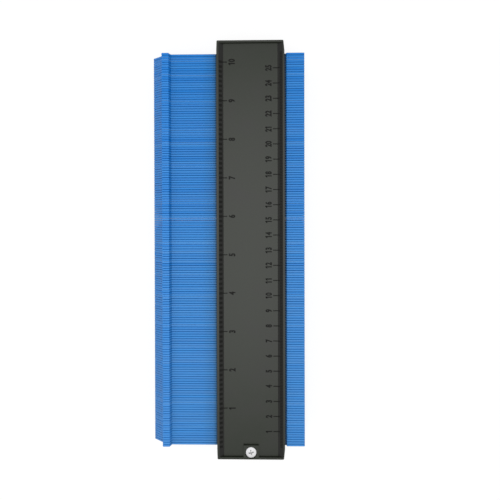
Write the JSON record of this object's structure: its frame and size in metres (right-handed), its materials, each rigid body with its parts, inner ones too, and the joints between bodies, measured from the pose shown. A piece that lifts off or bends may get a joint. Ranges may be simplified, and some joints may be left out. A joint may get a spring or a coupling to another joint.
{
  "type": "contour gauge",
  "caption": "Plastic contour gauge: a stack of thin sliding leaves, held by friction in a long ruled housing, takes up the outline of whatever it is pressed against.",
  "frame": {"origin": "centre of the housing, on the plane of the back shell's rim, on which the gauge lies", "axes": "+X along the leaves from their noses to their heads, +Y along the housing from the end with the front screw, +Z out of the front scale face"},
  "size_m": [0.1019, 0.2758, 0.025],
  "materials": {
    "housing": "moulded black plastic, satin",
    "leaf": "moulded blue plastic, satin",
    "screw": "bright zinc plated steel"
  },
  "bodies": {
    "housing": {"front_shell": "housing", "back_shell": "housing", "front_screw": "screw", "back_screw": "screw"},
    "leaves_01": {"leaves_01": "leaf"},
    "leaves_02": {"leaves_02": "leaf"},
    "leaves_03": {"leaves_03": "leaf"},
    "leaves_04": {"leaves_04": "leaf"},
    "leaves_05": {"leaves_05": "leaf"},
    "leaves_06": {"leaves_06": "leaf"},
    "leaves_07": {"leaves_07": "leaf"},
    "leaves_08": {"leaves_08": "leaf"},
    "leaves_09": {"leaves_09": "leaf"},
    "leaves_10": {"leaves_10": "leaf"},
    "leaves_11": {"leaves_11": "leaf"},
    "leaves_12": {"leaves_12": "leaf"},
    "leaves_13": {"leaves_13": "leaf"},
    "leaves_14": {"leaves_14": "leaf"},
    "leaves_15": {"leaves_15": "leaf"},
    "leaves_16": {"leaves_16": "leaf"},
    "leaves_17": {"leaves_17": "leaf"},
    "leaves_18": {"leaves_18": "leaf"},
    "leaves_19": {"leaves_19": "leaf"},
    "leaves_20": {"leaves_20": "leaf"},
    "leaves_21": {"leaves_21": "leaf"},
    "leaves_22": {"leaves_22": "leaf"},
    "leaves_23": {"leaves_23": "leaf"},
    "leaves_24": {"leaves_24": "leaf"},
    "leaves_25": {"leaves_25": "leaf"},
    "leaves_26": {"leaves_26": "leaf"},
    "leaves_27": {"leaves_27": "leaf"},
    "leaves_28": {"leaves_28": "leaf"},
    "leaves_29": {"leaves_29": "leaf"},
    "leaves_30": {"leaves_30": "leaf"},
    "leaves_31": {"leaves_31": "leaf"},
    "leaves_32": {"leaves_32": "leaf"},
    "leaves_33": {"leaves_33": "leaf"},
    "leaves_34": {"leaves_34": "leaf"},
    "leaves_35": {"leaves_35": "leaf"},
    "leaves_36": {"leaves_36": "leaf"},
    "leaves_37": {"leaves_37": "leaf"},
    "leaves_38": {"leaves_38": "leaf"},
    "leaves_39": {"leaves_39": "leaf"},
    "leaves_40": {"leaves_40": "leaf"},
    "leaves_41": {"leaves_41": "leaf"},
    "leaves_42": {"leaves_42": "leaf"},
    "leaves_43": {"leaves_43": "leaf"},
    "leaves_44": {"leaves_44": "leaf"},
    "leaves_45": {"leaves_45": "leaf"},
    "leaves_46": {"leaves_46": "leaf"},
    "leaves_47": {"leaves_47": "leaf"},
    "leaves_48": {"leaves_48": "leaf"},
    "leaves_49": {"leaves_49": "leaf"},
    "leaves_50": {"leaves_50": "leaf"},
    "leaves_51": {"leaves_51": "leaf"},
    "leaves_52": {"leaves_52": "leaf"},
    "leaves_53": {"leaves_53": "leaf"},
    "leaves_54": {"leaves_54": "leaf"},
    "leaves_55": {"leaves_55": "leaf"}
  },
  "joints": [
    {"name": "leaves_01_slide", "type": "slide", "parent": "housing", "child": "leaves_01", "axis": [1, 0, 0], "range_m": [-0.00105, 0.03025]},
    {"name": "leaves_02_slide", "type": "slide", "parent": "housing", "child": "leaves_02", "axis": [1, 0, 0], "range_m": [-0.00105, 0.03025]},
    {"name": "leaves_03_slide", "type": "slide", "parent": "housing", "child": "leaves_03", "axis": [1, 0, 0], "range_m": [-0.00105, 0.03025]},
    {"name": "leaves_04_slide", "type": "slide", "parent": "housing", "child": "leaves_04", "axis": [1, 0, 0], "range_m": [-0.00105, 0.03025]},
    {"name": "leaves_05_slide", "type": "slide", "parent": "housing", "child": "leaves_05", "axis": [1, 0, 0], "range_m": [-0.00105, 0.03025]},
    {"name": "leaves_06_slide", "type": "slide", "parent": "housing", "child": "leaves_06", "axis": [1, 0, 0], "range_m": [-0.00105, 0.03025]},
    {"name": "leaves_07_slide", "type": "slide", "parent": "housing", "child": "leaves_07", "axis": [1, 0, 0], "range_m": [-0.00105, 0.03025]},
    {"name": "leaves_08_slide", "type": "slide", "parent": "housing", "child": "leaves_08", "axis": [1, 0, 0], "range_m": [-0.00105, 0.03025]},
    {"name": "leaves_09_slide", "type": "slide", "parent": "housing", "child": "leaves_09", "axis": [1, 0, 0], "range_m": [-0.00105, 0.03025]},
    {"name": "leaves_10_slide", "type": "slide", "parent": "housing", "child": "leaves_10", "axis": [1, 0, 0], "range_m": [-0.00105, 0.03025]},
    {"name": "leaves_11_slide", "type": "slide", "parent": "housing", "child": "leaves_11", "axis": [1, 0, 0], "range_m": [-0.00105, 0.03025]},
    {"name": "leaves_12_slide", "type": "slide", "parent": "housing", "child": "leaves_12", "axis": [1, 0, 0], "range_m": [-0.00105, 0.03025]},
    {"name": "leaves_13_slide", "type": "slide", "parent": "housing", "child": "leaves_13", "axis": [1, 0, 0], "range_m": [-0.00105, 0.03025]},
    {"name": "leaves_14_slide", "type": "slide", "parent": "housing", "child": "leaves_14", "axis": [1, 0, 0], "range_m": [-0.00105, 0.03025]},
    {"name": "leaves_15_slide", "type": "slide", "parent": "housing", "child": "leaves_15", "axis": [1, 0, 0], "range_m": [-0.00105, 0.03025]},
    {"name": "leaves_16_slide", "type": "slide", "parent": "housing", "child": "leaves_16", "axis": [1, 0, 0], "range_m": [-0.00105, 0.03025]},
    {"name": "leaves_17_slide", "type": "slide", "parent": "housing", "child": "leaves_17", "axis": [1, 0, 0], "range_m": [-0.00105, 0.03025]},
    {"name": "leaves_18_slide", "type": "slide", "parent": "housing", "child": "leaves_18", "axis": [1, 0, 0], "range_m": [-0.00105, 0.03025]},
    {"name": "leaves_19_slide", "type": "slide", "parent": "housing", "child": "leaves_19", "axis": [1, 0, 0], "range_m": [-0.00105, 0.03025]},
    {"name": "leaves_20_slide", "type": "slide", "parent": "housing", "child": "leaves_20", "axis": [1, 0, 0], "range_m": [-0.00105, 0.03025]},
    {"name": "leaves_21_slide", "type": "slide", "parent": "housing", "child": "leaves_21", "axis": [1, 0, 0], "range_m": [-0.00105, 0.03025]},
    {"name": "leaves_22_slide", "type": "slide", "parent": "housing", "child": "leaves_22", "axis": [1, 0, 0], "range_m": [-0.00105, 0.03025]},
    {"name": "leaves_23_slide", "type": "slide", "parent": "housing", "child": "leaves_23", "axis": [1, 0, 0], "range_m": [-0.00105, 0.03025]},
    {"name": "leaves_24_slide", "type": "slide", "parent": "housing", "child": "leaves_24", "axis": [1, 0, 0], "range_m": [-0.00105, 0.03025]},
    {"name": "leaves_25_slide", "type": "slide", "parent": "housing", "child": "leaves_25", "axis": [1, 0, 0], "range_m": [-0.00105, 0.03025]},
    {"name": "leaves_26_slide", "type": "slide", "parent": "housing", "child": "leaves_26", "axis": [1, 0, 0], "range_m": [-0.00105, 0.03025]},
    {"name": "leaves_27_slide", "type": "slide", "parent": "housing", "child": "leaves_27", "axis": [1, 0, 0], "range_m": [-0.00105, 0.03025]},
    {"name": "leaves_28_slide", "type": "slide", "parent": "housing", "child": "leaves_28", "axis": [1, 0, 0], "range_m": [-0.00105, 0.03025]},
    {"name": "leaves_29_slide", "type": "slide", "parent": "housing", "child": "leaves_29", "axis": [1, 0, 0], "range_m": [-0.00105, 0.03025]},
    {"name": "leaves_30_slide", "type": "slide", "parent": "housing", "child": "leaves_30", "axis": [1, 0, 0], "range_m": [-0.00105, 0.03025]},
    {"name": "leaves_31_slide", "type": "slide", "parent": "housing", "child": "leaves_31", "axis": [1, 0, 0], "range_m": [-0.00105, 0.03025]},
    {"name": "leaves_32_slide", "type": "slide", "parent": "housing", "child": "leaves_32", "axis": [1, 0, 0], "range_m": [-0.00105, 0.03025]},
    {"name": "leaves_33_slide", "type": "slide", "parent": "housing", "child": "leaves_33", "axis": [1, 0, 0], "range_m": [-0.00105, 0.03025]},
    {"name": "leaves_34_slide", "type": "slide", "parent": "housing", "child": "leaves_34", "axis": [1, 0, 0], "range_m": [-0.00105, 0.03025]},
    {"name": "leaves_35_slide", "type": "slide", "parent": "housing", "child": "leaves_35", "axis": [1, 0, 0], "range_m": [-0.00105, 0.03025]},
    {"name": "leaves_36_slide", "type": "slide", "parent": "housing", "child": "leaves_36", "axis": [1, 0, 0], "range_m": [-0.00105, 0.03025]},
    {"name": "leaves_37_slide", "type": "slide", "parent": "housing", "child": "leaves_37", "axis": [1, 0, 0], "range_m": [-0.00105, 0.03025]},
    {"name": "leaves_38_slide", "type": "slide", "parent": "housing", "child": "leaves_38", "axis": [1, 0, 0], "range_m": [-0.00105, 0.03025]},
    {"name": "leaves_39_slide", "type": "slide", "parent": "housing", "child": "leaves_39", "axis": [1, 0, 0], "range_m": [-0.00105, 0.03025]},
    {"name": "leaves_40_slide", "type": "slide", "parent": "housing", "child": "leaves_40", "axis": [1, 0, 0], "range_m": [-0.00105, 0.03025]},
    {"name": "leaves_41_slide", "type": "slide", "parent": "housing", "child": "leaves_41", "axis": [1, 0, 0], "range_m": [-0.00105, 0.03025]},
    {"name": "leaves_42_slide", "type": "slide", "parent": "housing", "child": "leaves_42", "axis": [1, 0, 0], "range_m": [-0.00105, 0.03025]},
    {"name": "leaves_43_slide", "type": "slide", "parent": "housing", "child": "leaves_43", "axis": [1, 0, 0], "range_m": [-0.00105, 0.03025]},
    {"name": "leaves_44_slide", "type": "slide", "parent": "housing", "child": "leaves_44", "axis": [1, 0, 0], "range_m": [-0.00105, 0.03025]},
    {"name": "leaves_45_slide", "type": "slide", "parent": "housing", "child": "leaves_45", "axis": [1, 0, 0], "range_m": [-0.00105, 0.03025]},
    {"name": "leaves_46_slide", "type": "slide", "parent": "housing", "child": "leaves_46", "axis": [1, 0, 0], "range_m": [-0.00105, 0.03025]},
    {"name": "leaves_47_slide", "type": "slide", "parent": "housing", "child": "leaves_47", "axis": [1, 0, 0], "range_m": [-0.00105, 0.03025]},
    {"name": "leaves_48_slide", "type": "slide", "parent": "housing", "child": "leaves_48", "axis": [1, 0, 0], "range_m": [-0.00105, 0.03025]},
    {"name": "leaves_49_slide", "type": "slide", "parent": "housing", "child": "leaves_49", "axis": [1, 0, 0], "range_m": [-0.00105, 0.03025]},
    {"name": "leaves_50_slide", "type": "slide", "parent": "housing", "child": "leaves_50", "axis": [1, 0, 0], "range_m": [-0.00105, 0.03025]},
    {"name": "leaves_51_slide", "type": "slide", "parent": "housing", "child": "leaves_51", "axis": [1, 0, 0], "range_m": [-0.00105, 0.03025]},
    {"name": "leaves_52_slide", "type": "slide", "parent": "housing", "child": "leaves_52", "axis": [1, 0, 0], "range_m": [-0.00105, 0.03025]},
    {"name": "leaves_53_slide", "type": "slide", "parent": "housing", "child": "leaves_53", "axis": [1, 0, 0], "range_m": [-0.00105, 0.03025]},
    {"name": "leaves_54_slide", "type": "slide", "parent": "housing", "child": "leaves_54", "axis": [1, 0, 0], "range_m": [-0.00105, 0.03025]},
    {"name": "leaves_55_slide", "type": "slide", "parent": "housing", "child": "leaves_55", "axis": [1, 0, 0], "range_m": [-0.00105, 0.03025]}
  ]
}
